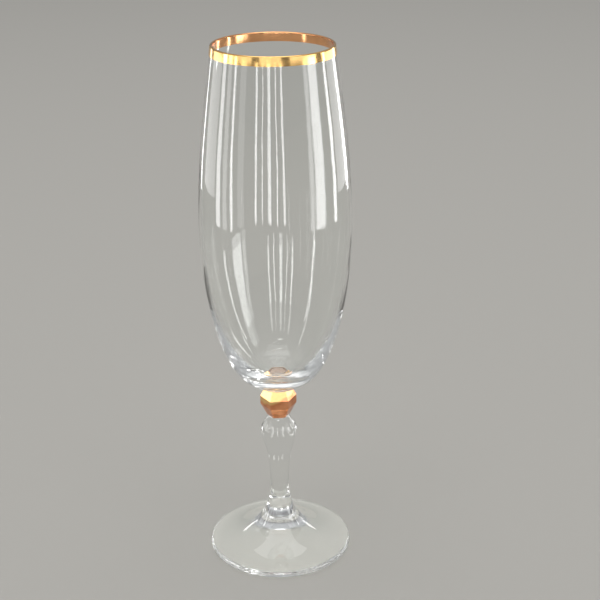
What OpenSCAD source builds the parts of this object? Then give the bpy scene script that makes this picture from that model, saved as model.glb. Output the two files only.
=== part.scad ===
// Champagne flute. A tall blown crystal bowl with a gilded lip stands on a gilded, facet-cut
// knop, a solid baluster stem and a round foot. The pieces are fused hot, end to end, along
// the Z axis: foot to stem, stem to knop, knop to bowl. Every joint is a flat disc that the
// two pieces share. Millimetres, +Z up, origin at the centre of the circle it stands on.

/* [Bowl] */
// Height from the table to the top of the lip
total_h = 220; // [205:1:235]
// Outside diameter at the lip
lip_d = 48; // [44:0.5:54]
// Lean of the wall at the lip, from the vertical, in degrees
lip_lean = 7.4; // [4:0.2:11]
// Outside diameter at the widest point
belly_d = 61.4; // [56:0.2:68]
// Height of the widest point
belly_z = 148.4; // [138:0.2:158]
// Outside diameter at the heel, where the side turns into the base
heel_d = 31.2; // [28:0.2:34]
// Height of the heel
heel_z = 81.6; // [80:0.2:84]
// Thickness of the lip
lip_t = 1; // [0.8:0.1:1.4]
// Thickness of the wall at the widest point
wall_t = 1.2; // [1:0.1:1.8]
// Thickness of glass in the middle of the base
base_t = 6.2; // [5:0.2:8]

/* [Gilding] */
// Depth of the gold band, measured down the wall on each side of the lip
band_w = 3.2; // [2:0.1:8]
// Thickness of the gold on the lip
band_t = 0.08; // [0.05:0.01:0.12]
// Thickness of the gold on the knop
knop_gold_t = 0.15; // [0.1:0.01:0.3]

/* [Knop] */
// Height of the knop's middle
knop_z = 69.5; // [69.1:0.1:69.9]
// Width across two opposite facets of the middle row
knop_w = 13.3; // [13:0.1:14]
// Number of facets in each of the three rows
facets = 6; // [5:1:12]
// Turn of the facets about the axis, in degrees
facet_turn = 34; // [0:1:60]

/* [Stem] */
// Diameter of the neck under the knop
neck_d = 8.2; // [8:0.1:9]
// Diameter of the shoulder
shoulder_d = 15.1; // [13:0.1:17]
// Height of the shoulder
shoulder_z = 55.7; // [54:0.1:57]
// Diameter of the waist
waist_d = 8; // [7:0.1:10]
// Height of the waist
waist_z = 28.6; // [25:0.2:32]
// Diameter of the flare where it joins the foot
flare_d = 20; // [18:0.2:23]

/* [Foot] */
// Diameter of the foot
foot_d = 61; // [56:0.5:70]
// Height of the foot where the stem joins it
foot_h = 11; // [10:0.2:12.4]
// Thickness of the rounded rim
foot_rim_t = 2.9; // [2.4:0.1:3.4]
// Width of the flat ring that the foot stands on
rest_w = 1.6; // [1:0.1:3]
// Height of the hollow under the foot
hollow_h = 7; // [5:0.1:7.6]

/* [Hidden] */

$fn = 180;

// Steps in a long curve, in a short curve and in a half circle
long_steps = 36;
short_steps = 18;
arc_steps = 10;

crystal = [0.86, 0.92, 0.94, 0.4];
gold = [0.9, 0.7, 0.34];
copper_gold = [0.86, 0.56, 0.36];

// The knop's middle row of facets stands upright. The row above it and the row below it
// face up and down by this angle.
outer_latitude = 25;
// Half the height of the middle row
belt_half_h = 1.8;
// How far the flat discs where the knop is fused lie above and below its middle
knop_rise = 5.5;
knop_drop = 7.1;

// Slopes of the outlines in degrees from the horizontal: outside and inside the bowl's
// heel, up the stem's taper and up its flare
heel_angle = 45;
floor_angle = 52;
taper_angle = 83;
flare_angle = 128;
// How high the inside of the bowl turns from its floor into its wall
floor_turn_h = 6.8;
// Where the stem's taper begins above the waist, and how much wider it is there
taper_rise = 13.9;
taper_gain = 0.87;
// Length of the straight neck under the knop
neck_l = 0.3;
// How far the foot's rounded rim runs over its top, in degrees from the horizontal
rim_end = 80;

knop_top_z = knop_z + knop_rise;
knop_bottom_z = knop_z - knop_drop;

// Unit vectors down and out along the wall at the lip, and square to it
wall_along = [sin(lip_lean), -cos(lip_lean)];
wall_out = [cos(lip_lean), sin(lip_lean)];
lip_centre = [lip_d / 2 - lip_t / 2, total_h - lip_t / 2];

// Points of a cubic curve from a to d, with b and c as its handles
function curve(a, b, c, d, steps) = [
    for (i = [0 : steps])
        let (t = i / steps, s = 1 - t)
        s * s * s * a + 3 * s * s * t * b + 3 * s * t * t * c + t * t * t * d
];

// Points of an arc, from one angle to another
function arc(centre, r, from, to, steps) = [
    for (i = [0 : steps])
        let (angle = from + (to - from) * i / steps)
        centre + r * [cos(angle), sin(angle)]
];

// A list of points without its first one, and the same list backwards
function tail(points) = [for (i = [1 : 1 : len(points) - 1]) points[i]];
function backwards(points) = [for (i = [len(points) - 1 : -1 : 0]) points[i]];

function polar(length, angle) = length * [cos(angle), sin(angle)];

// The glass at the lip: a half circle with a straight stretch of wall on each side of it.
// grow moves the outline outwards, square to the surface.
function lip_outline(grow) = let (r = lip_t / 2 + grow) concat(
    [lip_centre + r * wall_out + band_w * wall_along],
    arc(lip_centre, r, lip_lean, lip_lean + 180, arc_steps),
    [lip_centre - r * wall_out + band_w * wall_along]
);

// Outside of the bowl, from the band down to the disc where the knop is fused. The long
// side is one curve down to the belly and one in to the heel, and the base is shallow.
function bowl_outside() = let (
    start = lip_outline(0)[0],
    belly = [belly_d / 2, belly_z],
    heel = [heel_d / 2, heel_z],
    pad = [neck_d / 2, knop_top_z]
) concat(
    curve(start, start + 18.5 * wall_along, belly + [0, 25], belly, long_steps),
    tail(curve(belly, belly - [0, 34.5], heel + polar(10.7, heel_angle), heel, long_steps)),
    tail(curve(heel, heel - polar(1.6, heel_angle), pad + [4, 0.3], pad, short_steps))
);

// Inside of the bowl, from the middle of the floor up to the band. The wall is even from
// the lip to the belly, and thickens below it into a heavy round-bottomed base.
function bowl_inside() = let (
    end = lip_outline(0)[arc_steps + 2],
    belly = [belly_d / 2 - wall_t, belly_z],
    floor_z = knop_top_z + base_t,
    turn = [heel_d / 2, floor_z + floor_turn_h]
) concat(
    curve([0, floor_z], [9, floor_z], turn - polar(5, floor_angle), turn, short_steps),
    tail(curve(turn, turn + polar(9, floor_angle), belly - [0, 36], belly, long_steps)),
    tail(curve(belly, belly + [0, 25], end + 18.5 * wall_along, end, long_steps))
);

module bowl() {
    color(crystal)
    rotate_extrude()
    polygon(concat(
        [[0, knop_top_z]],
        backwards(bowl_outside()),
        tail(lip_outline(0)),
        tail(backwards(bowl_inside()))
    ));
}

// Gold fired over the lip and down both sides of it
module rim_gilding() {
    color(gold)
    rotate_extrude()
    polygon(concat(lip_outline(band_t), backwards(lip_outline(0))));
}

// Distances of the knop's facets from the axis, and heights, from its bottom to its top.
// inset moves every facet inwards, which brings the edges between the rows closer together.
function knop_outline(inset) = let (
    middle_d = knop_w / 2 - inset,
    edge_h = belt_half_h - inset * tan(outer_latitude / 2),
    bottom_d = middle_d - (knop_drop - edge_h) * tan(outer_latitude),
    top_d = middle_d - (knop_rise - edge_h) * tan(outer_latitude)
) [
    [bottom_d, knop_bottom_z],
    [middle_d, knop_z - edge_h],
    [middle_d, knop_z + edge_h],
    [top_d, knop_top_z]
];

// Ring of flat facets round the axis for each step of the outline
module faceted(outline) {
    rotate(facet_turn + 180 / facets)
    rotate_extrude($fn = facets)
    polygon([for (point = outline) [point[0] / cos(180 / facets), point[1]]]);
}

module knop_core() {
    color(crystal)
    faceted(concat([[0, knop_bottom_z]], knop_outline(knop_gold_t), [[0, knop_top_z]]));
}

// Gold over all the facets of the knop. The fused discs at its ends are left bare.
module knop_gilding() {
    color(copper_gold)
    faceted(concat(knop_outline(0), backwards(knop_outline(knop_gold_t))));
}

// Solid baluster: a neck, a round shoulder, a long taper to the waist and a wide flare
module stem() {
    neck_r = neck_d / 2;
    neck_end = [neck_r, knop_bottom_z - neck_l];
    shoulder = [shoulder_d / 2, shoulder_z];
    taper = [waist_d / 2 + taper_gain, waist_z + taper_rise];
    waist = [waist_d / 2, waist_z];
    flare = [flare_d / 2, foot_h];
    color(crystal)
    rotate_extrude()
    polygon(concat(
        [[0, foot_h], flare],
        tail(curve(flare, flare + polar(3.6, flare_angle), waist - [0, 10], waist, short_steps)),
        tail(curve(waist, waist + [0, 4.2], taper - polar(5.6, taper_angle), taper, short_steps)),
        tail(curve(taper, taper + polar(2.5, taper_angle), shoulder - [0, 3.7], shoulder, short_steps)),
        tail(curve(shoulder, shoulder + [0, 2.3], neck_end + [0.9, -1.2], neck_end, short_steps)),
        [[neck_r, knop_bottom_z], [0, knop_bottom_z]]
    ));
}

// Round foot: a shell that sinks from the flare to a rounded rim, with a flat ring to
// stand on and a hollow that follows the top
module foot() {
    rim_r = foot_rim_t / 2;
    rim_centre = [foot_d / 2 - rim_r, rim_r];
    rim_top = rim_centre + polar(rim_r, rim_end);
    flare = [flare_d / 2, foot_h];
    hollow_edge = [rim_centre[0] - rest_w, 0];
    color(crystal)
    rotate_extrude()
    polygon(concat(
        [[0, hollow_h]],
        tail(curve([0, hollow_h], [9, hollow_h], hollow_edge + [-11, 0.8], hollow_edge, long_steps)),
        arc(rim_centre, rim_r, -90, rim_end, arc_steps),
        tail(curve(rim_top, rim_top + [-9.3, 0.5], flare + [3.6, -2.4], flare, long_steps)),
        [[0, foot_h]]
    ));
}

bowl();
rim_gilding();
knop_core();
knop_gilding();
stem();
foot();
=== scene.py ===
"""Champagne flute: a tall blown crystal bowl with a gilded lip on a gilded, facet-cut knop,
a baluster stem and a round foot. Everything is in metres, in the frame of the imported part."""

import math

import bpy
import numpy as np
from bpy.props import FloatProperty, FloatVectorProperty, IntProperty, PointerProperty
from bpy.types import Operator, Panel, PropertyGroup
from mathutils import Matrix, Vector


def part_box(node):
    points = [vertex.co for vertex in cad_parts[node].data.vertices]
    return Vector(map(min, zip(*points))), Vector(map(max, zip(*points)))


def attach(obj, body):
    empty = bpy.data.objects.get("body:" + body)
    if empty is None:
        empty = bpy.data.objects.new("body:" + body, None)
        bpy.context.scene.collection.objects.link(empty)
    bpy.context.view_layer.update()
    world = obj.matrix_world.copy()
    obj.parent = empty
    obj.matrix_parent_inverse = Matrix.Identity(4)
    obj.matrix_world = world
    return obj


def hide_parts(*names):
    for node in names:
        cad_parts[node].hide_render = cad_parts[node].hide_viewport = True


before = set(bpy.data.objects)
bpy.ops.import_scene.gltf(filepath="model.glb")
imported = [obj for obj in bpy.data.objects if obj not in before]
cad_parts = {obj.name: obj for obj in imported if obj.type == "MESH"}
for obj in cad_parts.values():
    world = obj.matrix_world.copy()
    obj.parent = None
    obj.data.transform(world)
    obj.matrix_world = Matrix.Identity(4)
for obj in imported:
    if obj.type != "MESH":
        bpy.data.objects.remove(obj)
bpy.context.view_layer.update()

bl_info = {
    "name": "Champagne Flute",
    "version": (1, 0, 0),
    "blender": (4, 5, 0),
    "location": "View3D > Sidebar > Flute",
    "description": "Builds a crystal champagne flute with a gilded lip and knop",
    "category": "Add Mesh",
}

MM = 0.001

# Handles of the curves that shape the glass, in metres, and their slopes in degrees
LIP_HANDLE = 18.5 * MM
BELLY_HANDLE_UP = 25.0 * MM
BELLY_HANDLE_DOWN = 34.5 * MM
HEEL_HANDLE_UP = 10.7 * MM
HEEL_HANDLE_DOWN = 1.6 * MM
HEEL_SLOPE = 45.0
BASE_HANDLE = (4.0 * MM, 0.3 * MM)
INSIDE_HANDLE_DOWN = 36.0 * MM
FLOOR_TURN = 6.8 * MM
FLOOR_TURN_SLOPE = 52.0
FLOOR_TURN_HANDLE_UP = 9.0 * MM
FLOOR_TURN_HANDLE_DOWN = 5.0 * MM
FLOOR_HANDLE = 9.0 * MM
# A low ring on the floor of the bowl, as a mould leaves: its radius, height and half width
MOULD_RING = (8.4 * MM, 0.3 * MM, 0.55 * MM)
# The knop's upper and lower facets lean in by this angle from the upright, in degrees
KNOP_LATITUDE = 25.0
# Radius of the discs where the knop is fused to the stem and to the bowl
FUSED_RADIUS = 3.85 * MM
NECK_LENGTH = 0.3 * MM
NECK_HANDLE = (0.9 * MM, -1.2 * MM)
SHOULDER_HANDLE_UP = 2.3 * MM
SHOULDER_HANDLE_DOWN = 3.7 * MM
TAPER_RISE = 13.9 * MM
TAPER_GAIN = 0.87 * MM
TAPER_SLOPE = 83.0
TAPER_HANDLE_UP = 2.5 * MM
TAPER_HANDLE_DOWN = 5.6 * MM
WAIST_HANDLE_UP = 4.2 * MM
WAIST_HANDLE_DOWN = 10.0 * MM
FLARE_SLOPE = 128.0
FLARE_HANDLE = 3.6 * MM
RIM_END = 80.0
RIM_HANDLE = (-9.3 * MM, 0.5 * MM)
FOOT_HANDLE = (3.6 * MM, -2.4 * MM)
HOLLOW_HANDLE = 9.0 * MM
HOLLOW_EDGE_HANDLE = (-11.0 * MM, 0.8 * MM)

# Steps in a long curve, in a short curve and in a half circle
LONG_STEPS = 64
SHORT_STEPS = 28
ARC_STEPS = 20
# An outline that turns by more than this many degrees has a sharp edge there
SHARP_TURN = 24.0


def linear(colour):
    """Linear RGB of an sRGB hex colour."""
    value = np.array([int(colour[i : i + 2], 16) for i in (1, 3, 5)]) / 255.0
    value = np.where(value <= 0.04045, value / 12.92, ((value + 0.055) / 1.055) ** 2.4)
    return tuple(float(v) for v in value)


def box_height(node):
    """Heights of the bottom and top of a CAD node."""
    low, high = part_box(node)
    return low.z, high.z


def box_width(node):
    """Width of a CAD node across X."""
    low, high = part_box(node)
    return high.x - low.x


def length(name, description, default):
    """A length in metres."""
    return FloatProperty(
        name=name, description=description, default=default, min=0.0,
        subtype="DISTANCE", unit="LENGTH", precision=5,
    )


def colour(name, description, default):
    """A colour, given as sRGB hex."""
    return FloatVectorProperty(
        name=name, description=description, default=linear(default), min=0.0, max=1.0,
        size=3, subtype="COLOR",
    )


class FluteSizes(PropertyGroup):
    """Sizes of the glass."""

    height: length("Height", "From the table to the top of the lip", box_height("bowl")[1])
    lip_diameter: length("Lip Diameter", "Outside diameter at the lip", 48.0 * MM)
    lip_lean: FloatProperty(
        name="Lip Lean", description="Lean of the wall at the lip, from the vertical",
        default=math.radians(7.4), subtype="ANGLE", unit="ROTATION",
    )
    lip_thickness: length("Lip Thickness", "Thickness of the glass at the lip", 1.0 * MM)
    belly_diameter: length("Belly Diameter", "Diameter at the widest point", box_width("bowl"))
    belly_height: length("Belly Height", "Height of the widest point", 148.4 * MM)
    wall_thickness: length("Wall Thickness", "Thickness at the widest point", 1.2 * MM)
    heel_diameter: length("Heel Diameter", "Diameter where the side turns in", 31.2 * MM)
    heel_height: length("Heel Height", "Height of the heel", 81.6 * MM)
    base_thickness: length("Base Thickness", "Glass in the middle of the base", 6.2 * MM)
    band_depth: length("Band Depth", "Depth of the gold band on the lip", 3.2 * MM)
    band_thickness: length("Band Thickness", "Thickness of the gold on the lip", 0.08 * MM)
    knop_height: length("Knop Height", "Height of the middle of the knop", 69.5 * MM)
    knop_width: length("Knop Width", "Width across two opposite middle facets", 13.3 * MM)
    knop_belt: length("Knop Belt", "Half the height of the middle row of facets", 1.8 * MM)
    knop_gold: length("Knop Gold", "Thickness of the gold on the knop", 0.15 * MM)
    knop_facets: IntProperty(
        name="Knop Facets", description="Number of facets in each row", default=6, min=4, max=24
    )
    knop_turn: FloatProperty(
        name="Knop Turn", description="Turn of the facets about the axis",
        default=math.radians(34.0), subtype="ANGLE", unit="ROTATION",
    )
    neck_diameter: length("Neck Diameter", "Diameter of the neck under the knop", 8.2 * MM)
    shoulder_diameter: length("Shoulder Diameter", "Diameter of the shoulder", 15.1 * MM)
    shoulder_height: length("Shoulder Height", "Height of the shoulder", 55.7 * MM)
    waist_diameter: length("Waist Diameter", "Diameter of the waist", 8.0 * MM)
    waist_height: length("Waist Height", "Height of the waist", 28.6 * MM)
    flare_diameter: length("Flare Diameter", "Diameter where it joins the foot", box_width("stem"))
    foot_diameter: length("Foot Diameter", "Diameter of the foot", box_width("foot"))
    foot_height: length("Foot Height", "Height where the stem joins it", box_height("foot")[1])
    foot_rim: length("Foot Rim", "Thickness of the rounded rim", 2.9 * MM)
    rest_width: length("Rest Width", "Width of the flat ring that it stands on", 1.6 * MM)
    hollow_height: length("Hollow Height", "Height of the hollow under the foot", 7.0 * MM)
    around: IntProperty(
        name="Steps Around", description="Steps of each turned surface round the axis",
        default=256, min=24, max=384,
    )


class FluteFinish(PropertyGroup):
    """Colours and finishes of the glass and its gilding."""

    crystal: colour("Crystal", "Tint of the clear crystal", "#FDFEFD")
    crystal_ior: FloatProperty(
        name="Crystal IOR", description="Index of refraction of the crystal",
        default=1.52, min=1.3, max=2.0,
    )
    ripple: length("Ripple", "Height of the soft ripples left by blowing", 0.09 * MM)
    lip_gold: colour("Lip Gold", "Gold on the outside of the lip", "#FACB82")
    # Painted shade: the inside of the lip is drawn in this redder, darker copy of the gold, for its
    # darker reflections
    lip_gold_inside_painted_shade: colour("Lip Gold Inside", "Thinner gold inside the lip", "#F4B480")
    knop_gold: colour("Knop Gold", "Rose gold on the knop", "#F8AC7C")
    # Painted shade: darker patches of this colour stand in for facets that mirror dark surroundings
    knop_painted_shade: colour("Knop Shade", "Where the knop's rose gold is thicker", "#C9784A")
    # Painted light: the upper facets are drawn in this yellower, lighter gold for the light that
    # they catch from above
    knop_yellow_painted_light: colour("Knop Yellow", "Yellower gold on the upper facets", "#FFD08C")
    # Share of the disc drawn in the painted pink, which stands in for the knop's lit gold seen
    # through the base
    joint_painted_light: FloatProperty(
        name="Joint Cloud", description="How clouded the disc between bowl and knop is",
        default=0.55, min=0.0, max=1.0,
    )
    # Painted light: this pale colour stands in for the knop's gold, lit and seen through the glass;
    # the disc at the joint takes it too
    knop_under: colour("Knop Underside", "The knop's gold, seen through the glass", "#F4D6C4")


class FluteStage(PropertyGroup):
    """Floor, light and camera."""

    floor: colour("Floor", "Colour of the painted floor", "#BDBAB4")
    walls: colour("Walls", "Colour of the studio's walls and ceiling", "#D8DADC")
    light: FloatProperty(name="Light", description="Strength of the lamps", default=1.0, min=0.0)
    lens: FloatProperty(
        name="Lens", description="Focal length on a 36 mm sensor, in millimetres",
        default=78.0, min=10.0,
    )


# --- Outlines and surfaces -----------------------------------------------------------------


def curve(a, b, c, d, steps):
    """Cubic curve from a to d with the handles b and c, at even values of t from 0 to 1:
    (1-t)^3 a + 3 (1-t)^2 t b + 3 (1-t) t^2 c + t^3 d."""
    a, b, c, d = (np.asarray(p, float) for p in (a, b, c, d))
    t = np.linspace(0.0, 1.0, steps + 1)[:, None]
    s = 1.0 - t
    return s**3 * a + 3 * s**2 * t * b + 3 * s * t**2 * c + t**3 * d


def polar(distance, degrees):
    """The vector of that length at that angle from the r axis."""
    angle = math.radians(degrees)
    return distance * np.array([math.cos(angle), math.sin(angle)])


def arc(centre, radius, start, end, steps):
    """Arc: centre + radius (cos v, sin v), with v from start to end in degrees."""
    v = np.radians(np.linspace(start, end, steps + 1))
    return np.asarray(centre) + radius * np.stack([np.cos(v), np.sin(v)], axis=1)


def join(*parts):
    """One outline from several, without points that repeat."""
    points = np.vstack([np.atleast_2d(part) for part in parts])
    step = np.linalg.norm(np.diff(points, axis=0), axis=1)
    return points[np.concatenate([[True], step > 1e-7])]


def corners(outline, closed):
    """True at each point where the outline turns by more than SHARP_TURN degrees."""
    before = outline - np.roll(outline, 1, axis=0)
    after = np.roll(outline, -1, axis=0) - outline
    turn = np.arctan2(
        before[:, 0] * after[:, 1] - before[:, 1] * after[:, 0], (before * after).sum(axis=1)
    )
    sharp = np.abs(turn) > math.radians(SHARP_TURN)
    if not closed:
        sharp[[0, -1]] = False
    return sharp


def make_mesh(name, points, faces, smooth, sharp_edge=None, face_material=None):
    """Object whose mesh has these points and faces. sharp_edge gives, for the two points of
    each edge, whether the edge is sharp."""
    mesh = bpy.data.meshes.new(name)
    mesh.from_pydata(points.tolist(), [], faces)
    mesh.polygons.foreach_set("use_smooth", np.full(len(mesh.polygons), smooth))
    if face_material is not None:
        mesh.polygons.foreach_set("material_index", face_material.astype(np.int32))
    if sharp_edge is not None:
        ends = np.empty(len(mesh.edges) * 2, np.int32)
        mesh.edges.foreach_get("vertices", ends)
        marks = mesh.attributes.new("sharp_edge", "BOOLEAN", "EDGE")
        marks.data.foreach_set("value", sharp_edge(ends.reshape(-1, 2)))
    mesh.validate()
    made = bpy.data.objects.new(name, mesh)
    bpy.context.scene.collection.objects.link(made)
    return made


def around_faces(rows, columns, closed):
    """Quads of a grid whose columns close round the axis, and whose rows close if closed."""
    i, j = np.meshgrid(
        np.arange(rows if closed else rows - 1), np.arange(columns), indexing="ij"
    )
    i, j = i.ravel(), j.ravel()
    up, right = (i + 1) % rows, (j + 1) % columns
    return np.stack(
        [i * columns + j, i * columns + right, up * columns + right, up * columns + j], axis=1
    )


def turned(name, outline, around, fused=()):
    """Surface of revolution: the outline's point (r, z) at the angle u goes to
    (r cos u, r sin u, z). It starts and ends on the axis, where a fan of triangles closes
    each pole. Faces on a height in fused, inside its radius, take the second material."""
    ring = outline[1:-1]
    rows = len(ring)
    u = np.linspace(0.0, 2 * np.pi, around, endpoint=False)
    body = np.stack(
        [ring[:, :1] * np.cos(u), ring[:, :1] * np.sin(u), np.tile(ring[:, 1:], around)], axis=2
    ).reshape(-1, 3)
    ends = [[0.0, 0.0, outline[0, 1]], [0.0, 0.0, outline[-1, 1]]]
    quads = around_faces(rows, around, False)
    k = np.arange(around)
    first = np.stack([np.full(around, rows * around), (k + 1) % around, k], axis=1)
    top = (rows - 1) * around
    last = np.stack([np.full(around, rows * around + 1), top + k, top + (k + 1) % around], axis=1)
    middle = np.concatenate([
        np.repeat((ring[:-1] + ring[1:]) / 2, around, axis=0),
        np.tile((outline[0] + outline[1]) / 2, (around, 1)),
        np.tile((outline[-1] + outline[-2]) / 2, (around, 1)),
    ])
    joined = np.zeros(len(middle), bool)
    for z, radius in fused:
        joined |= (np.abs(middle[:, 1] - z) < 1e-6) & (middle[:, 0] < radius)
    sharp = np.concatenate([corners(outline, False)[1:-1], [False, False]])

    def sharp_edge(pair):
        row = pair // around
        return (row[:, 0] == row[:, 1]) & (row[:, 0] < rows) & sharp[row[:, 0]]

    return make_mesh(
        name, np.vstack([body, ends]), quads.tolist() + first.tolist() + last.tolist(),
        True, sharp_edge, joined,
    )


def turned_ring(name, outline, around):
    """Ring of revolution: the closed outline's point (r, z) at the angle u goes to
    (r cos u, r sin u, z)."""
    u = np.linspace(0.0, 2 * np.pi, around, endpoint=False)
    points = np.stack(
        [outline[:, :1] * np.cos(u), outline[:, :1] * np.sin(u), np.tile(outline[:, 1:], around)],
        axis=2,
    ).reshape(-1, 3)
    sharp = corners(outline, True)

    def sharp_edge(pair):
        row = pair // around
        return (row[:, 0] == row[:, 1]) & sharp[row[:, 0]]

    return make_mesh(
        name, points, around_faces(len(outline), around, True).tolist(), True, sharp_edge
    )


def finish_piece(made, node, slot, *materials):
    """Gives a piece its materials and its body, and hides its CAD node. The slot is not used."""
    for material in materials:
        made.data.materials.append(material)
    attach(made, "root")
    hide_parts(node)
    return made


# --- Outlines of the pieces ----------------------------------------------------------------


def knop_ends():
    """Heights of the two discs where the knop is fused."""
    return box_height("knop_core")


def lip_outline(size, grow=0.0):
    """Outline of the glass at the lip, from the outside over the top to the inside: a half
    circle with a straight stretch of wall on each side. grow moves it outwards."""
    lean = math.degrees(size.lip_lean)
    out, along = polar(1.0, lean), polar(1.0, lean - 90.0)
    half = size.lip_thickness / 2
    centre = np.array([size.lip_diameter / 2 - half, size.height - half])
    radius = half + grow
    return join(
        centre + radius * out + size.band_depth * along,
        arc(centre, radius, lean, lean + 180.0, ARC_STEPS),
        centre - radius * out + size.band_depth * along,
    )


def bowl_outline(size):
    """Outline of the bowl, from the middle of its underside out and up to the lip, and down
    the inside to the middle of its floor."""
    along = polar(1.0, math.degrees(size.lip_lean) - 90.0)
    under = knop_ends()[1]
    lip = lip_outline(size)
    pad = np.array([size.neck_diameter / 2, under])
    heel = np.array([size.heel_diameter / 2, size.heel_height])
    belly = np.array([size.belly_diameter / 2, size.belly_height])
    inside = belly - [size.wall_thickness, 0]
    floor = under + size.base_thickness
    turn = np.array([size.heel_diameter / 2, floor + FLOOR_TURN])
    bottom = curve(turn, turn - polar(FLOOR_TURN_HANDLE_DOWN, FLOOR_TURN_SLOPE),
                   (FLOOR_HANDLE, floor), (0, floor), LONG_STEPS)
    ring, rise, spread = MOULD_RING
    bottom[:, 1] += rise * np.exp(-(((bottom[:, 0] - ring) / spread) ** 2))
    return join(
        (0, under),
        (FUSED_RADIUS, under),
        curve(pad, pad + BASE_HANDLE, heel - polar(HEEL_HANDLE_DOWN, HEEL_SLOPE), heel,
              SHORT_STEPS),
        curve(heel, heel + polar(HEEL_HANDLE_UP, HEEL_SLOPE), belly - [0, BELLY_HANDLE_DOWN], belly,
              LONG_STEPS),
        curve(belly, belly + [0, BELLY_HANDLE_UP], lip[0] + LIP_HANDLE * along, lip[0], LONG_STEPS),
        lip,
        curve(lip[-1], lip[-1] + LIP_HANDLE * along, inside + [0, BELLY_HANDLE_UP], inside,
              LONG_STEPS),
        curve(inside, inside - [0, INSIDE_HANDLE_DOWN],
              turn + polar(FLOOR_TURN_HANDLE_UP, FLOOR_TURN_SLOPE), turn, LONG_STEPS),
        bottom,
    )


def stem_outline(size):
    """Outline of the stem, from the middle of the disc on the foot out and up the flare, the
    waist, the taper, the shoulder and the neck to the disc under the knop."""
    top = knop_ends()[0]
    flare = np.array([size.flare_diameter / 2, size.foot_height])
    waist = np.array([size.waist_diameter / 2, size.waist_height])
    taper = waist + [TAPER_GAIN, TAPER_RISE]
    shoulder = np.array([size.shoulder_diameter / 2, size.shoulder_height])
    neck = np.array([size.neck_diameter / 2, top - NECK_LENGTH])
    return join(
        (0, size.foot_height),
        curve(flare, flare + polar(FLARE_HANDLE, FLARE_SLOPE), waist - [0, WAIST_HANDLE_DOWN],
              waist, LONG_STEPS),
        curve(waist, waist + [0, WAIST_HANDLE_UP], taper - polar(TAPER_HANDLE_DOWN, TAPER_SLOPE),
              taper, SHORT_STEPS),
        curve(taper, taper + polar(TAPER_HANDLE_UP, TAPER_SLOPE),
              shoulder - [0, SHOULDER_HANDLE_DOWN], shoulder, SHORT_STEPS),
        curve(shoulder, shoulder + [0, SHOULDER_HANDLE_UP], neck + NECK_HANDLE, neck, SHORT_STEPS),
        (size.neck_diameter / 2, top),
        (FUSED_RADIUS, top),
        (0, top),
    )


def foot_outline(size):
    """Outline of the foot, from the middle of the hollow under it out over the flat ring and
    the rounded rim, and back up its top to the disc under the stem."""
    rim = size.foot_rim / 2
    rim_centre = np.array([size.foot_diameter / 2 - rim, rim])
    rim_top = rim_centre + polar(rim, RIM_END)
    flare = np.array([size.flare_diameter / 2, size.foot_height])
    edge = np.array([rim_centre[0] - size.rest_width, 0.0])
    hollow = size.hollow_height
    return join(
        curve((0, hollow), (HOLLOW_HANDLE, hollow), edge + HOLLOW_EDGE_HANDLE, edge, LONG_STEPS),
        arc(rim_centre, rim, -90.0, RIM_END, ARC_STEPS),
        curve(rim_top, rim_top + RIM_HANDLE, flare + FOOT_HANDLE, flare, LONG_STEPS),
        (0, size.foot_height),
    )


def knop_profile(size, inset):
    """Distance of the facets from the axis, and height, from the knop's bottom to its top.
    The middle row stands upright. A row at the latitude a runs in from it by tan a for each
    step up or down, and moving all the facets in by inset shifts the edge between two rows
    towards the middle by inset tan(a / 2)."""
    low, high = knop_ends()
    a = math.radians(KNOP_LATITUDE)
    middle = size.knop_width / 2 - inset
    edge = size.knop_belt - inset * math.tan(a / 2)
    z = np.array([low, size.knop_height - edge, size.knop_height + edge, high])
    beyond = np.abs(z - size.knop_height) - edge
    return np.stack([middle - beyond * math.tan(a), z], axis=1)


def faceted(size, outline, across):
    """Points of a faceted surface: at the angle u the outline's point (rho, z) goes out to
    rho / cos(u - u0), where u0 is the middle of the facet that u is on, so that each level
    is a regular polygon. across is the number of steps over each facet."""
    step = 2 * np.pi / size.knop_facets
    k = np.arange(size.knop_facets * across)
    off = (k % across) / across * step - step / 2
    u = size.knop_turn + (k // across) * step + off
    radius = outline[:, :1] / np.cos(off)
    return np.stack(
        [radius * np.cos(u), radius * np.sin(u), np.tile(outline[:, 1:], len(k))], axis=2
    ).reshape(-1, 3)


# --- Materials -----------------------------------------------------------------------------


def add(tree, kind, sockets=None, **settings):
    """Adds a node with its settings. A socket given a node's output is linked to it, and
    any other value is set on it."""
    made = tree.nodes.new(kind)
    for key, value in settings.items():
        setattr(made, key, value)
    for key, value in (sockets or {}).items():
        if isinstance(value, bpy.types.NodeSocket):
            tree.links.new(value, made.inputs[key])
        else:
            made.inputs[key].default_value = value
    return made


def new_material(name):
    """An empty material and its node tree."""
    material = bpy.data.materials.new(name)
    material.use_nodes = True
    material.node_tree.nodes.clear()
    return material, material.node_tree


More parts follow.
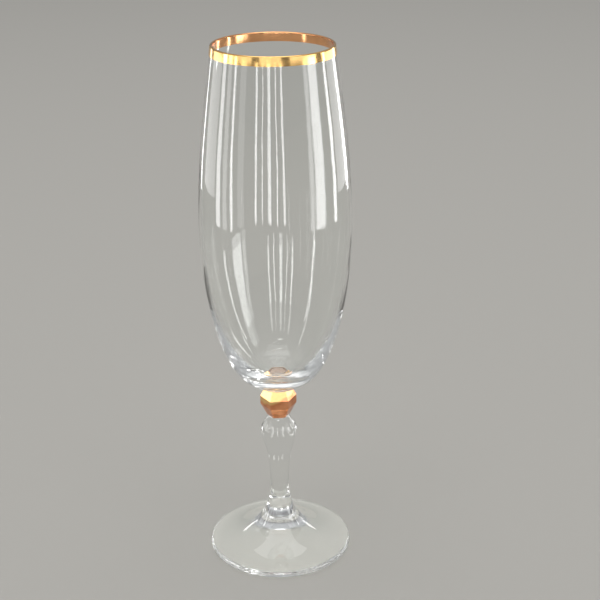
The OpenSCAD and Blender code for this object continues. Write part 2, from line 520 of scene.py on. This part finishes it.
def blown_crystal(finish):
    """Lead-free crystal, blown and fire-polished. It is clear and very smooth, with soft
    ripples that bend its reflections. For shadows alone it is plain and see-through, tinted
    grey, so that the lamps reach what is behind it without being bent."""
    material, tree = new_material("blown_crystal")
    place = add(tree, "ShaderNodeTexCoord").outputs["Object"]
    # Ripples about 10 mm apart round the glass and longer up it, as blowing leaves them
    stretched = add(tree, "ShaderNodeMapping", {"Vector": place, "Scale": (1.0, 1.0, 0.4)})
    ripples = add(
        tree, "ShaderNodeTexNoise",
        {"Vector": stretched.outputs["Vector"], "Scale": 1 / (10 * MM), "Detail": 1.5,
         "Roughness": 0.45},
    )
    bump = add(
        tree, "ShaderNodeBump",
        {"Height": ripples.outputs["Fac"], "Distance": finish.ripple, "Strength": 1.0},
    )
    glass = add(
        tree, "ShaderNodeBsdfPrincipled",
        {"Base Color": (*finish.crystal, 1.0), "Roughness": 0.0, "IOR": finish.crystal_ior,
         "Transmission Weight": 1.0, "Normal": bump.outputs["Normal"]},
    )
    # The edges, where light crosses more glass, cast the darker shadow
    across = add(tree, "ShaderNodeLayerWeight", {"Blend": 0.35})
    shade = add(
        tree, "ShaderNodeMix",
        {"Factor": across.outputs["Facing"], "A": (0.96, 0.97, 0.96, 1.0),
         "B": (0.62, 0.65, 0.64, 1.0)},
        data_type="RGBA",
    )
    through = add(tree, "ShaderNodeBsdfTransparent", {"Color": shade.outputs["Result"]})
    lamp = add(tree, "ShaderNodeLightPath")
    mix = add(
        tree, "ShaderNodeMixShader",
        {0: lamp.outputs["Is Shadow Ray"], 1: glass.outputs["BSDF"], 2: through.outputs["BSDF"]},
    )
    add(tree, "ShaderNodeOutputMaterial", {"Surface": mix.outputs["Shader"]})
    return material


def fused_glass():
    """The discs where two pieces of glass melted into one, and the whole core of the knop
    between them. It is plain and see-through and bends no light, so nothing of it shows."""
    material, tree = new_material("fused_glass")
    clear = add(tree, "ShaderNodeBsdfTransparent")
    add(tree, "ShaderNodeOutputMaterial", {"Surface": clear.outputs["BSDF"]})
    return material


def pink_joint_painted_light(finish):
    """The disc where the bowl is fused to the knop, drawn clouded a pale pink. The pink is
    painted light, standing in for the knop's lit gold seen through the base. Less than half of
    the light passes, and the rest is scattered. What clouds it is a guess."""
    material, tree = new_material("pink_joint_painted_light")
    clear = add(tree, "ShaderNodeBsdfTransparent")
    painted_pink = add(tree, "ShaderNodeBsdfDiffuse", {"Color": (*finish.knop_under, 1.0)})
    mix = add(
        tree, "ShaderNodeMixShader",
        {0: finish.joint_painted_light, 1: clear.outputs["BSDF"], 2: painted_pink.outputs["BSDF"]},
    )
    add(tree, "ShaderNodeOutputMaterial", {"Surface": mix.outputs["Shader"]})
    return material


def lip_gilding_gold(size, finish):
    """Liquid bright gold, brushed on at a wheel and fired. It mirrors, with faint brush lines
    round the lip. Inside the lip it is drawn redder and darker, as painted shade for the
    darker reflections there; the film is no thinner."""
    material, tree = new_material("liquid_bright_gold")
    place = add(tree, "ShaderNodeTexCoord").outputs["Object"]
    split = add(tree, "ShaderNodeSeparateXYZ", {"Vector": place})
    # Distance from the axis, less the middle of the wall at that height
    flat = add(
        tree, "ShaderNodeCombineXYZ",
        {"X": split.outputs["X"], "Y": split.outputs["Y"], "Z": 0.0},
    )
    radius = add(
        tree, "ShaderNodeVectorMath", {0: flat.outputs["Vector"]}, operation="LENGTH"
    )
    slope = -math.tan(size.lip_lean)
    half = size.lip_thickness / 2
    wall_at_zero = size.lip_diameter / 2 - half - slope * (size.height - half)
    wall = add(
        tree, "ShaderNodeMath", {0: split.outputs["Z"], 1: slope, 2: wall_at_zero},
        operation="MULTIPLY_ADD",
    )
    side = add(
        tree, "ShaderNodeMath", {0: radius.outputs["Value"], 1: wall.outputs["Value"]},
        operation="SUBTRACT",
    )
    outside = add(
        tree, "ShaderNodeMapRange",
        {"Value": side.outputs["Value"], "From Min": -0.25 * MM, "From Max": 0.25 * MM},
    )
    # Brush lines 0.4 mm apart up the band and much longer round it
    drawn = add(tree, "ShaderNodeMapping", {"Vector": place, "Scale": (0.06, 0.06, 1.0)})
    lines = add(
        tree, "ShaderNodeTexNoise",
        {"Vector": drawn.outputs["Vector"], "Scale": 1 / (0.4 * MM), "Detail": 2.0},
    )
    # Patches 5 mm wide where the film took up more or less gold
    patches = add(
        tree, "ShaderNodeTexNoise", {"Vector": place, "Scale": 1 / (5 * MM), "Detail": 3.0}
    )
    # The inside of the lip takes the redder, darker copy of the gold: painted shade
    shade = add(
        tree, "ShaderNodeMix",
        {"Factor": outside.outputs["Result"], "A": (*finish.lip_gold_inside_painted_shade, 1.0),
         "B": (*finish.lip_gold, 1.0)},
        data_type="RGBA",
    )
    thick = add(
        tree, "ShaderNodeMapRange",
        {"Value": patches.outputs["Fac"], "From Min": 0.3, "From Max": 0.7, "To Min": 0.86,
         "To Max": 1.0},
    )
    tone = add(
        tree, "ShaderNodeVectorMath",
        {0: shade.outputs["Result"], "Scale": thick.outputs["Result"]}, operation="SCALE",
    )
    rough = add(
        tree, "ShaderNodeMapRange",
        {"Value": lines.outputs["Fac"], "From Min": 0.3, "From Max": 0.7, "To Min": 0.1,
         "To Max": 0.2},
    )
    bump = add(
        tree, "ShaderNodeBump",
        {"Height": lines.outputs["Fac"], "Distance": 0.004 * MM, "Strength": 0.6},
    )
    gold = add(
        tree, "ShaderNodeBsdfPrincipled",
        {"Base Color": tone.outputs["Vector"], "Metallic": 1.0,
         "Roughness": rough.outputs["Result"], "Normal": bump.outputs["Normal"]},
    )
    add(tree, "ShaderNodeOutputMaterial", {"Surface": gold.outputs["BSDF"]})
    return material


def knop_gilding_gold(size, finish):
    """Rose gold fired over cut glass. The upper facets are drawn in a yellower, lighter gold,
    a painted highlight for the light that they catch from above, and darker patches over the
    facets are painted shade for the dark things that they mirror. They mirror, with soft
    waves in the surface and small dull specks from handling."""
    material, tree = new_material("fired_rose_gold")
    place = add(tree, "ShaderNodeTexCoord").outputs["Object"]
    # Clouds about 4 mm wide, and specks about 0.5 mm wide
    clouds = add(
        tree, "ShaderNodeTexNoise", {"Vector": place, "Scale": 1 / (4 * MM), "Detail": 3.0}
    )
    specks = add(
        tree, "ShaderNodeTexNoise", {"Vector": place, "Scale": 1 / (0.5 * MM), "Detail": 1.0}
    )
    # Painted shade: the rose gold is drawn darker where the clouds are high
    painted_shade_mask = add(
        tree, "ShaderNodeMapRange",
        {"Value": clouds.outputs["Fac"], "From Min": 0.35, "From Max": 0.68},
    )
    shade = add(
        tree, "ShaderNodeMix",
        {"Factor": painted_shade_mask.outputs["Result"], "A": (*finish.knop_gold, 1.0),
         "B": (*finish.knop_painted_shade, 1.0)},
        data_type="RGBA",
    )
    # The yellow gold over the upper facets is painted light: the same gold is drawn yellower
    # and lighter where it catches the light from above. It ends at about the top of the middle
    # row. Its edge leans to one side, and the clouds push it up and down. The other two settings
    # are where it starts and where it is full, above the top of the row and before the push.
    lean, push, start, full = -0.35, 5.0 * MM, 1.8 * MM, 3.2 * MM
    row_top = size.knop_height + size.knop_belt
    part = add(tree, "ShaderNodeSeparateXYZ", {"Vector": place})
    leaning = add(
        tree, "ShaderNodeMath", {0: part.outputs["X"], 1: lean, 2: part.outputs["Z"]},
        operation="MULTIPLY_ADD",
    )
    pushed = add(
        tree, "ShaderNodeMath",
        {0: clouds.outputs["Fac"], 1: push, 2: leaning.outputs["Value"]},
        operation="MULTIPLY_ADD",
    )
    upper = add(
        tree, "ShaderNodeMapRange",
        {"Value": pushed.outputs["Value"], "From Min": row_top + start,
         "From Max": row_top + full},
    )
    shade = add(
        tree, "ShaderNodeMix",
        {"Factor": upper.outputs["Result"], "A": shade.outputs["Result"],
         "B": (*finish.knop_yellow_painted_light, 1.0)},
        data_type="RGBA",
    )
    rough = add(
        tree, "ShaderNodeMapRange",
        {"Value": specks.outputs["Fac"], "From Min": 0.55, "From Max": 0.8, "To Min": 0.13,
         "To Max": 0.22},
    )
    bump = add(
        tree, "ShaderNodeBump",
        {"Height": clouds.outputs["Fac"], "Distance": 0.14 * MM, "Strength": 1.0},
    )
    gold = add(
        tree, "ShaderNodeBsdfPrincipled",
        {"Base Color": shade.outputs["Result"], "Metallic": 1.0,
         "Roughness": rough.outputs["Result"], "Normal": bump.outputs["Normal"]},
    )
    add(tree, "ShaderNodeOutputMaterial", {"Surface": gold.outputs["BSDF"]})
    return material


def knop_underside_gold(finish):
    """The back of the knop's gold, seen through the core. It is drawn dull, paler than the
    front, and with little of a metal's mirror, so that it takes the light that falls on it:
    the pale colour is painted light, standing in for the gold lit through the glass."""
    material, tree = new_material("gold_underside_painted_light")
    place = add(tree, "ShaderNodeTexCoord").outputs["Object"]
    # Grinding leaves marks far finer than this, and 0.8 mm is coarse enough to show
    marks = add(
        tree, "ShaderNodeTexNoise", {"Vector": place, "Scale": 1 / (0.8 * MM), "Detail": 2.0}
    )
    rough = add(
        tree, "ShaderNodeMapRange",
        {"Value": marks.outputs["Fac"], "From Min": 0.3, "From Max": 0.7, "To Min": 0.45,
         "To Max": 0.6},
    )
    gold = add(
        tree, "ShaderNodeBsdfPrincipled",
        {"Base Color": (*finish.knop_under, 1.0), "Metallic": 0.15,
         "Roughness": rough.outputs["Result"]},
    )
    add(tree, "ShaderNodeOutputMaterial", {"Surface": gold.outputs["BSDF"]})
    return material


def painted_floor(stage):
    """Matt emulsion on board. It is pale and even, with the faint mottle of a roller."""
    material, tree = new_material("matt_emulsion")
    place = add(tree, "ShaderNodeTexCoord").outputs["Object"]
    # The roller leaves dots about 2 mm apart
    mottle = add(
        tree, "ShaderNodeTexNoise", {"Vector": place, "Scale": 1 / (2 * MM), "Detail": 2.0}
    )
    bump = add(
        tree, "ShaderNodeBump",
        {"Height": mottle.outputs["Fac"], "Distance": 0.05 * MM, "Strength": 0.5},
    )
    paint = add(
        tree, "ShaderNodeBsdfPrincipled",
        {"Base Color": (*stage.floor, 1.0), "Roughness": 0.9, "Specular IOR Level": 0.0,
         "Normal": bump.outputs["Normal"]},
    )
    add(tree, "ShaderNodeOutputMaterial", {"Surface": paint.outputs["BSDF"]})
    return material


def material_once(name, make, *settings):
    """The material of that name, made the first time that a piece needs it."""
    return bpy.data.materials.get(name) or make(*settings)


# --- Operators -----------------------------------------------------------------------------


class FLUTE_OT_bowl(Operator):
    """Make the blown crystal bowl"""

    bl_idname = "flute.bowl"
    bl_label = "Bowl"

    def execute(self, context):
        size, finish = context.scene.flute_sizes, context.scene.flute_finish
        made = turned(
            "crystal_bowl", bowl_outline(size), size.around, [(knop_ends()[1], FUSED_RADIUS)]
        )
        finish_piece(
            made, "bowl", "crystal",
            material_once("blown_crystal", blown_crystal, finish),
            material_once("pink_joint_painted_light", pink_joint_painted_light, finish),
        )
        return {"FINISHED"}


class FLUTE_OT_lip_gilding(Operator):
    """Make the gold band over the lip"""

    bl_idname = "flute.lip_gilding"
    bl_label = "Lip Gilding"

    # The gold reaches this far into the glass, so that no gap is left between them
    BITE = 0.005 * MM

    def execute(self, context):
        size, finish = context.scene.flute_sizes, context.scene.flute_finish
        outline = join(
            lip_outline(size, size.band_thickness), lip_outline(size, -self.BITE)[::-1]
        )
        made = turned_ring("lip_gilding", outline, size.around)
        finish_piece(
            made, "rim_gilding", "lip_gold",
            material_once("liquid_bright_gold", lip_gilding_gold, size, finish),
        )
        return {"FINISHED"}


class FLUTE_OT_knop(Operator):
    """Make the knop: its cut glass core and the gold over its facets"""

    bl_idname = "flute.knop"
    bl_label = "Knop"

    ACROSS = 4
    EDGE = 0.14 * MM
    # The core stops this far short of the discs, so that it shares no plane with them
    GAP = 0.02 * MM

    def execute(self, context):
        size, finish = context.scene.flute_sizes, context.scene.flute_finish
        inner = knop_profile(size, size.knop_gold)
        ends = np.array([[0.0, 1.0], [0.0, 0.0], [0.0, 0.0], [0.0, -1.0]]) * self.GAP
        columns = size.knop_facets
        points = faceted(size, inner + ends, 1)
        last = (len(inner) - 1) * columns
        caps = [list(range(columns))[::-1], list(range(last, last + columns))]
        core = make_mesh(
            "knop_glass", points, around_faces(len(inner), columns, False).tolist() + caps, False
        )
        finish_piece(core, "knop_core", "crystal", material_once("fused_glass", fused_glass))

        outline = join(knop_profile(size, 0.0), inner[::-1])
        points = faceted(size, outline, self.ACROSS)
        faces = around_faces(len(outline), columns * self.ACROSS, True)
        # The outline runs up the outside and down the inside, and the inside is the underside
        inside = np.arange(len(faces)) // (columns * self.ACROSS) >= len(inner)
        gold = make_mesh(
            "knop_gilding_facets", points, faces.tolist(), True, face_material=inside
        )
        bevel = gold.modifiers.new("worn_edges", "BEVEL")
        bevel.width = self.EDGE
        bevel.segments = 2
        bevel.limit_method = "ANGLE"
        bevel.angle_limit = math.radians(14.0)
        bevel.harden_normals = True
        finish_piece(
            gold, "knop_gilding", "knop_gold",
            material_once("fired_rose_gold", knop_gilding_gold, size, finish),
            material_once("gold_underside_painted_light", knop_underside_gold, finish),
        )
        return {"FINISHED"}


class FLUTE_OT_stem(Operator):
    """Make the baluster stem"""

    bl_idname = "flute.stem"
    bl_label = "Stem"

    def execute(self, context):
        size, finish = context.scene.flute_sizes, context.scene.flute_finish
        fused = [(size.foot_height, size.flare_diameter), (knop_ends()[0], FUSED_RADIUS)]
        made = turned("crystal_stem", stem_outline(size), size.around, fused)
        finish_piece(
            made, "stem", "crystal",
            material_once("blown_crystal", blown_crystal, finish),
            material_once("fused_glass", fused_glass),
        )
        return {"FINISHED"}


class FLUTE_OT_foot(Operator):
    """Make the round foot"""

    bl_idname = "flute.foot"
    bl_label = "Foot"

    def execute(self, context):
        size, finish = context.scene.flute_sizes, context.scene.flute_finish
        fused = [(size.foot_height, size.flare_diameter)]
        made = turned("crystal_foot", foot_outline(size), size.around, fused)
        finish_piece(
            made, "foot", "crystal",
            material_once("blown_crystal", blown_crystal, finish),
            material_once("fused_glass", fused_glass),
        )
        return {"FINISHED"}


class FLUTE_OT_stage(Operator):
    """Make the floor, the soft lights and the camera"""

    bl_idname = "flute.stage"
    bl_label = "Stage"

    # The camera stands here and looks along Y, down by its pitch
    CAMERA_PLACE = (9.5 * MM, -492.4 * MM, 319.1 * MM)
    CAMERA_PITCH = 22.55
    CAMERA_ROLL = -0.49
    FLOOR_RADIUS = 6.0
    # The floor lies this far under the foot, so that the two surfaces don't share a plane
    FLOOR_GAP = 0.02 * MM
    # The key is the only box that lights matt surfaces. The others only show in the glass
    # and the gold, as streaks and soft bands. Each row is a name, the angle from the camera's
    # side of the glass in degrees (positive to the right), the distance from the axis, the
    # height of the middle, the width, the height and the brightness. Each box faces the glass.
    KEY = "key_overhead"
    SOFT_BOXES = (
        (KEY, 0.0, 0.15, 2.2, 2.0, 2.0, 1.8),
        ("band_left", -62.0, 0.6, 0.34, 0.6, 0.2, 1.2),
        ("band_front", -4.0, 0.6, 0.34, 0.42, 0.2, 1.1),
        ("band_right", 56.0, 0.6, 0.34, 0.6, 0.2, 1.2),
        ("band_low_left", -112.0, 0.6, 0.12, 0.3, 0.2, 2.2),
        ("band_low_right", 120.0, 0.6, 0.12, 0.3, 0.2, 2.2),
        ("streak_left_wide", -90.0, 0.5, 0.124, 0.07, 0.242, 7.0),
        ("streak_left_soft", -77.0, 0.5, 0.124, 0.07, 0.242, 3.0),
        ("streak_left_thin", -66.0, 0.5, 0.124, 0.03, 0.242, 7.0),
        ("streak_left_faint", -50.0, 0.55, 0.124, 0.1, 0.242, 1.6),
        ("streak_front_left", -27.0, 0.6, 0.124, 0.03, 0.242, 6.0),
        ("streak_front_thin", -17.0, 0.6, 0.124, 0.012, 0.242, 6.0),
        ("streak_front", -7.0, 0.6, 0.124, 0.05, 0.242, 5.0),
        ("streak_front_middle", 4.0, 0.6, 0.124, 0.015, 0.242, 6.0),
        ("streak_front_right", 14.0, 0.6, 0.124, 0.035, 0.242, 5.0),
        ("streak_right_faint", 57.0, 0.5, 0.124, 0.06, 0.242, 2.4),
        ("streak_right_wide", 71.0, 0.5, 0.124, 0.15, 0.242, 5.0),
        ("streak_right_edge", 100.0, 0.5, 0.124, 0.04, 0.242, 8.0),
        ("streak_right_back", 138.0, 0.6, 0.14, 0.06, 0.28, 7.0),
        ("streak_left_back", -140.0, 0.6, 0.14, 0.04, 0.28, 6.0),
        ("lamp_above_left", -8.0, 1.1, 1.3, 0.4, 0.05, 14.0),
        ("lamp_above_right", 14.0, 1.2, 1.7, 0.4, 0.05, 14.0),
    )
    # These would show through the glass as white panels, so they only reflect in it
    SEEN_ONLY_AS_REFLECTIONS = {
        "band_left", "band_front", "band_right", "band_low_left", "band_low_right",
        "streak_left_wide", "streak_left_soft", "streak_left_faint", "streak_left_back",
    }
    AIM_HEIGHT = 0.11
    # The Z of a look's direction, and how bright it is there: where the dim walls end, and
    # where the pale ceiling begins
    WALL_UP, WALL_LIGHT = 0.05, 0.3
    CEILING_UP, CEILING_LIGHT = 0.6, 0.75
    FLOOR_RINGS, FLOOR_STEPS = 24, 96
    # Light turns back many times inside the thick base before it leaves the glass
    BOUNCES = 32

    def execute(self, context):
        scene, stage = context.scene, context.scene.flute_stage
        # A flat disc: rings that lie closer together towards the middle, and one face there
        rings, steps = self.FLOOR_RINGS, self.FLOOR_STEPS
        radius = np.linspace(1.0, 0.0, rings + 1)[:-1, None] ** 2 * self.FLOOR_RADIUS
        u = np.linspace(0.0, 2 * np.pi, steps, endpoint=False)
        height = np.full((rings, steps), -self.FLOOR_GAP)
        points = np.stack([radius * np.cos(u), radius * np.sin(u), height], axis=2)
        faces = around_faces(rings, steps, False).tolist()
        faces.append(list(range((rings - 1) * steps, rings * steps)))
        floor = make_mesh("floor", points.reshape(-1, 3), faces, True)
        floor.data.materials.append(painted_floor(stage))

        for name, angle, distance, middle, width, height, brightness in self.SOFT_BOXES:
            lamp = bpy.data.lights.new(name, "AREA")
            lamp.shape = "RECTANGLE"
            lamp.size, lamp.size_y = width, height
            lamp.energy = brightness * math.pi * width * height * stage.light
            box = bpy.data.objects.new(name, lamp)
            scene.collection.objects.link(box)
            box.visible_camera = False
            box.visible_diffuse = name == self.KEY
            box.visible_transmission = name not in self.SEEN_ONLY_AS_REFLECTIONS
            tilt = math.atan2(middle - self.AIM_HEIGHT, distance)
            box.matrix_world = (
                Matrix.Rotation(math.radians(angle), 4, "Z")
                @ Matrix.Translation((0.0, -distance, middle))
                @ Matrix.Rotation(math.radians(90.0) - tilt, 4, "X")
            )

        world = bpy.data.worlds.new("studio")
        scene.world = world
        world.use_nodes = True
        world.node_tree.nodes.clear()
        # The walls are dim and the ceiling is pale
        way = add(world.node_tree, "ShaderNodeTexCoord").outputs["Generated"]
        up = add(world.node_tree, "ShaderNodeSeparateXYZ", {"Vector": way}).outputs["Z"]
        rise = add(
            world.node_tree, "ShaderNodeMapRange",
            {"Value": up, "From Min": self.WALL_UP, "From Max": self.CEILING_UP,
             "To Min": self.WALL_LIGHT, "To Max": self.CEILING_LIGHT},
        )
        sky = add(
            world.node_tree, "ShaderNodeBackground",
            {"Color": (*stage.walls, 1.0), "Strength": rise.outputs["Result"]},
        )
        add(world.node_tree, "ShaderNodeOutputWorld", {"Surface": sky.outputs["Background"]})

        camera = bpy.data.cameras.new("camera")
        camera.sensor_width = 36.0
        camera.lens = stage.lens
        camera.clip_start = 0.01
        view = bpy.data.objects.new("camera", camera)
        scene.collection.objects.link(view)
        view.matrix_world = (
            Matrix.Translation(self.CAMERA_PLACE)
            @ Matrix.Rotation(math.radians(90.0 - self.CAMERA_PITCH), 4, "X")
            @ Matrix.Rotation(math.radians(self.CAMERA_ROLL), 4, "Z")
        )
        scene.camera = view
        scene.view_settings.view_transform = "Standard"
        for kind in ("max", "glossy", "transmission", "transparent_max"):
            setattr(scene.cycles, kind + "_bounces", self.BOUNCES)
        return {"FINISHED"}


class FLUTE_PT_panel(Panel):
    """Lists the settings and the pieces"""

    bl_idname = "FLUTE_PT_panel"
    bl_label = "Champagne Flute"
    bl_space_type = "VIEW_3D"
    bl_region_type = "UI"
    bl_category = "Flute"

    def draw(self, context):
        layout = self.layout
        for group in ("flute_sizes", "flute_finish", "flute_stage"):
            settings = getattr(context.scene, group)
            box = layout.box()
            for name in settings.bl_rna.properties.keys():
                if name not in {"rna_type", "name"}:
                    box.prop(settings, name)
        for operator in OPERATORS:
            layout.operator(operator.bl_idname)


GROUPS = {"flute_sizes": FluteSizes, "flute_finish": FluteFinish, "flute_stage": FluteStage}
OPERATORS = (
    FLUTE_OT_stage, FLUTE_OT_bowl, FLUTE_OT_lip_gilding, FLUTE_OT_knop, FLUTE_OT_stem,
    FLUTE_OT_foot,
)


def register():
    """Registers the settings, the operators and the panel."""
    for kind in (*GROUPS.values(), *OPERATORS, FLUTE_PT_panel):
        bpy.utils.register_class(kind)
    for name, kind in GROUPS.items():
        setattr(bpy.types.Scene, name, PointerProperty(type=kind))


def unregister():
    """Takes away what register added."""
    for name in GROUPS:
        delattr(bpy.types.Scene, name)
    for kind in (FLUTE_PT_panel, *reversed(OPERATORS), *reversed(GROUPS.values())):
        bpy.utils.unregister_class(kind)


def main():
    """Registers the add-on and makes the stage and every piece."""
    register()
    bpy.ops.flute.stage()
    bpy.ops.flute.bowl()
    bpy.ops.flute.lip_gilding()
    bpy.ops.flute.knop()
    bpy.ops.flute.stem()
    bpy.ops.flute.foot()


if __name__ == "__main__":
    main()
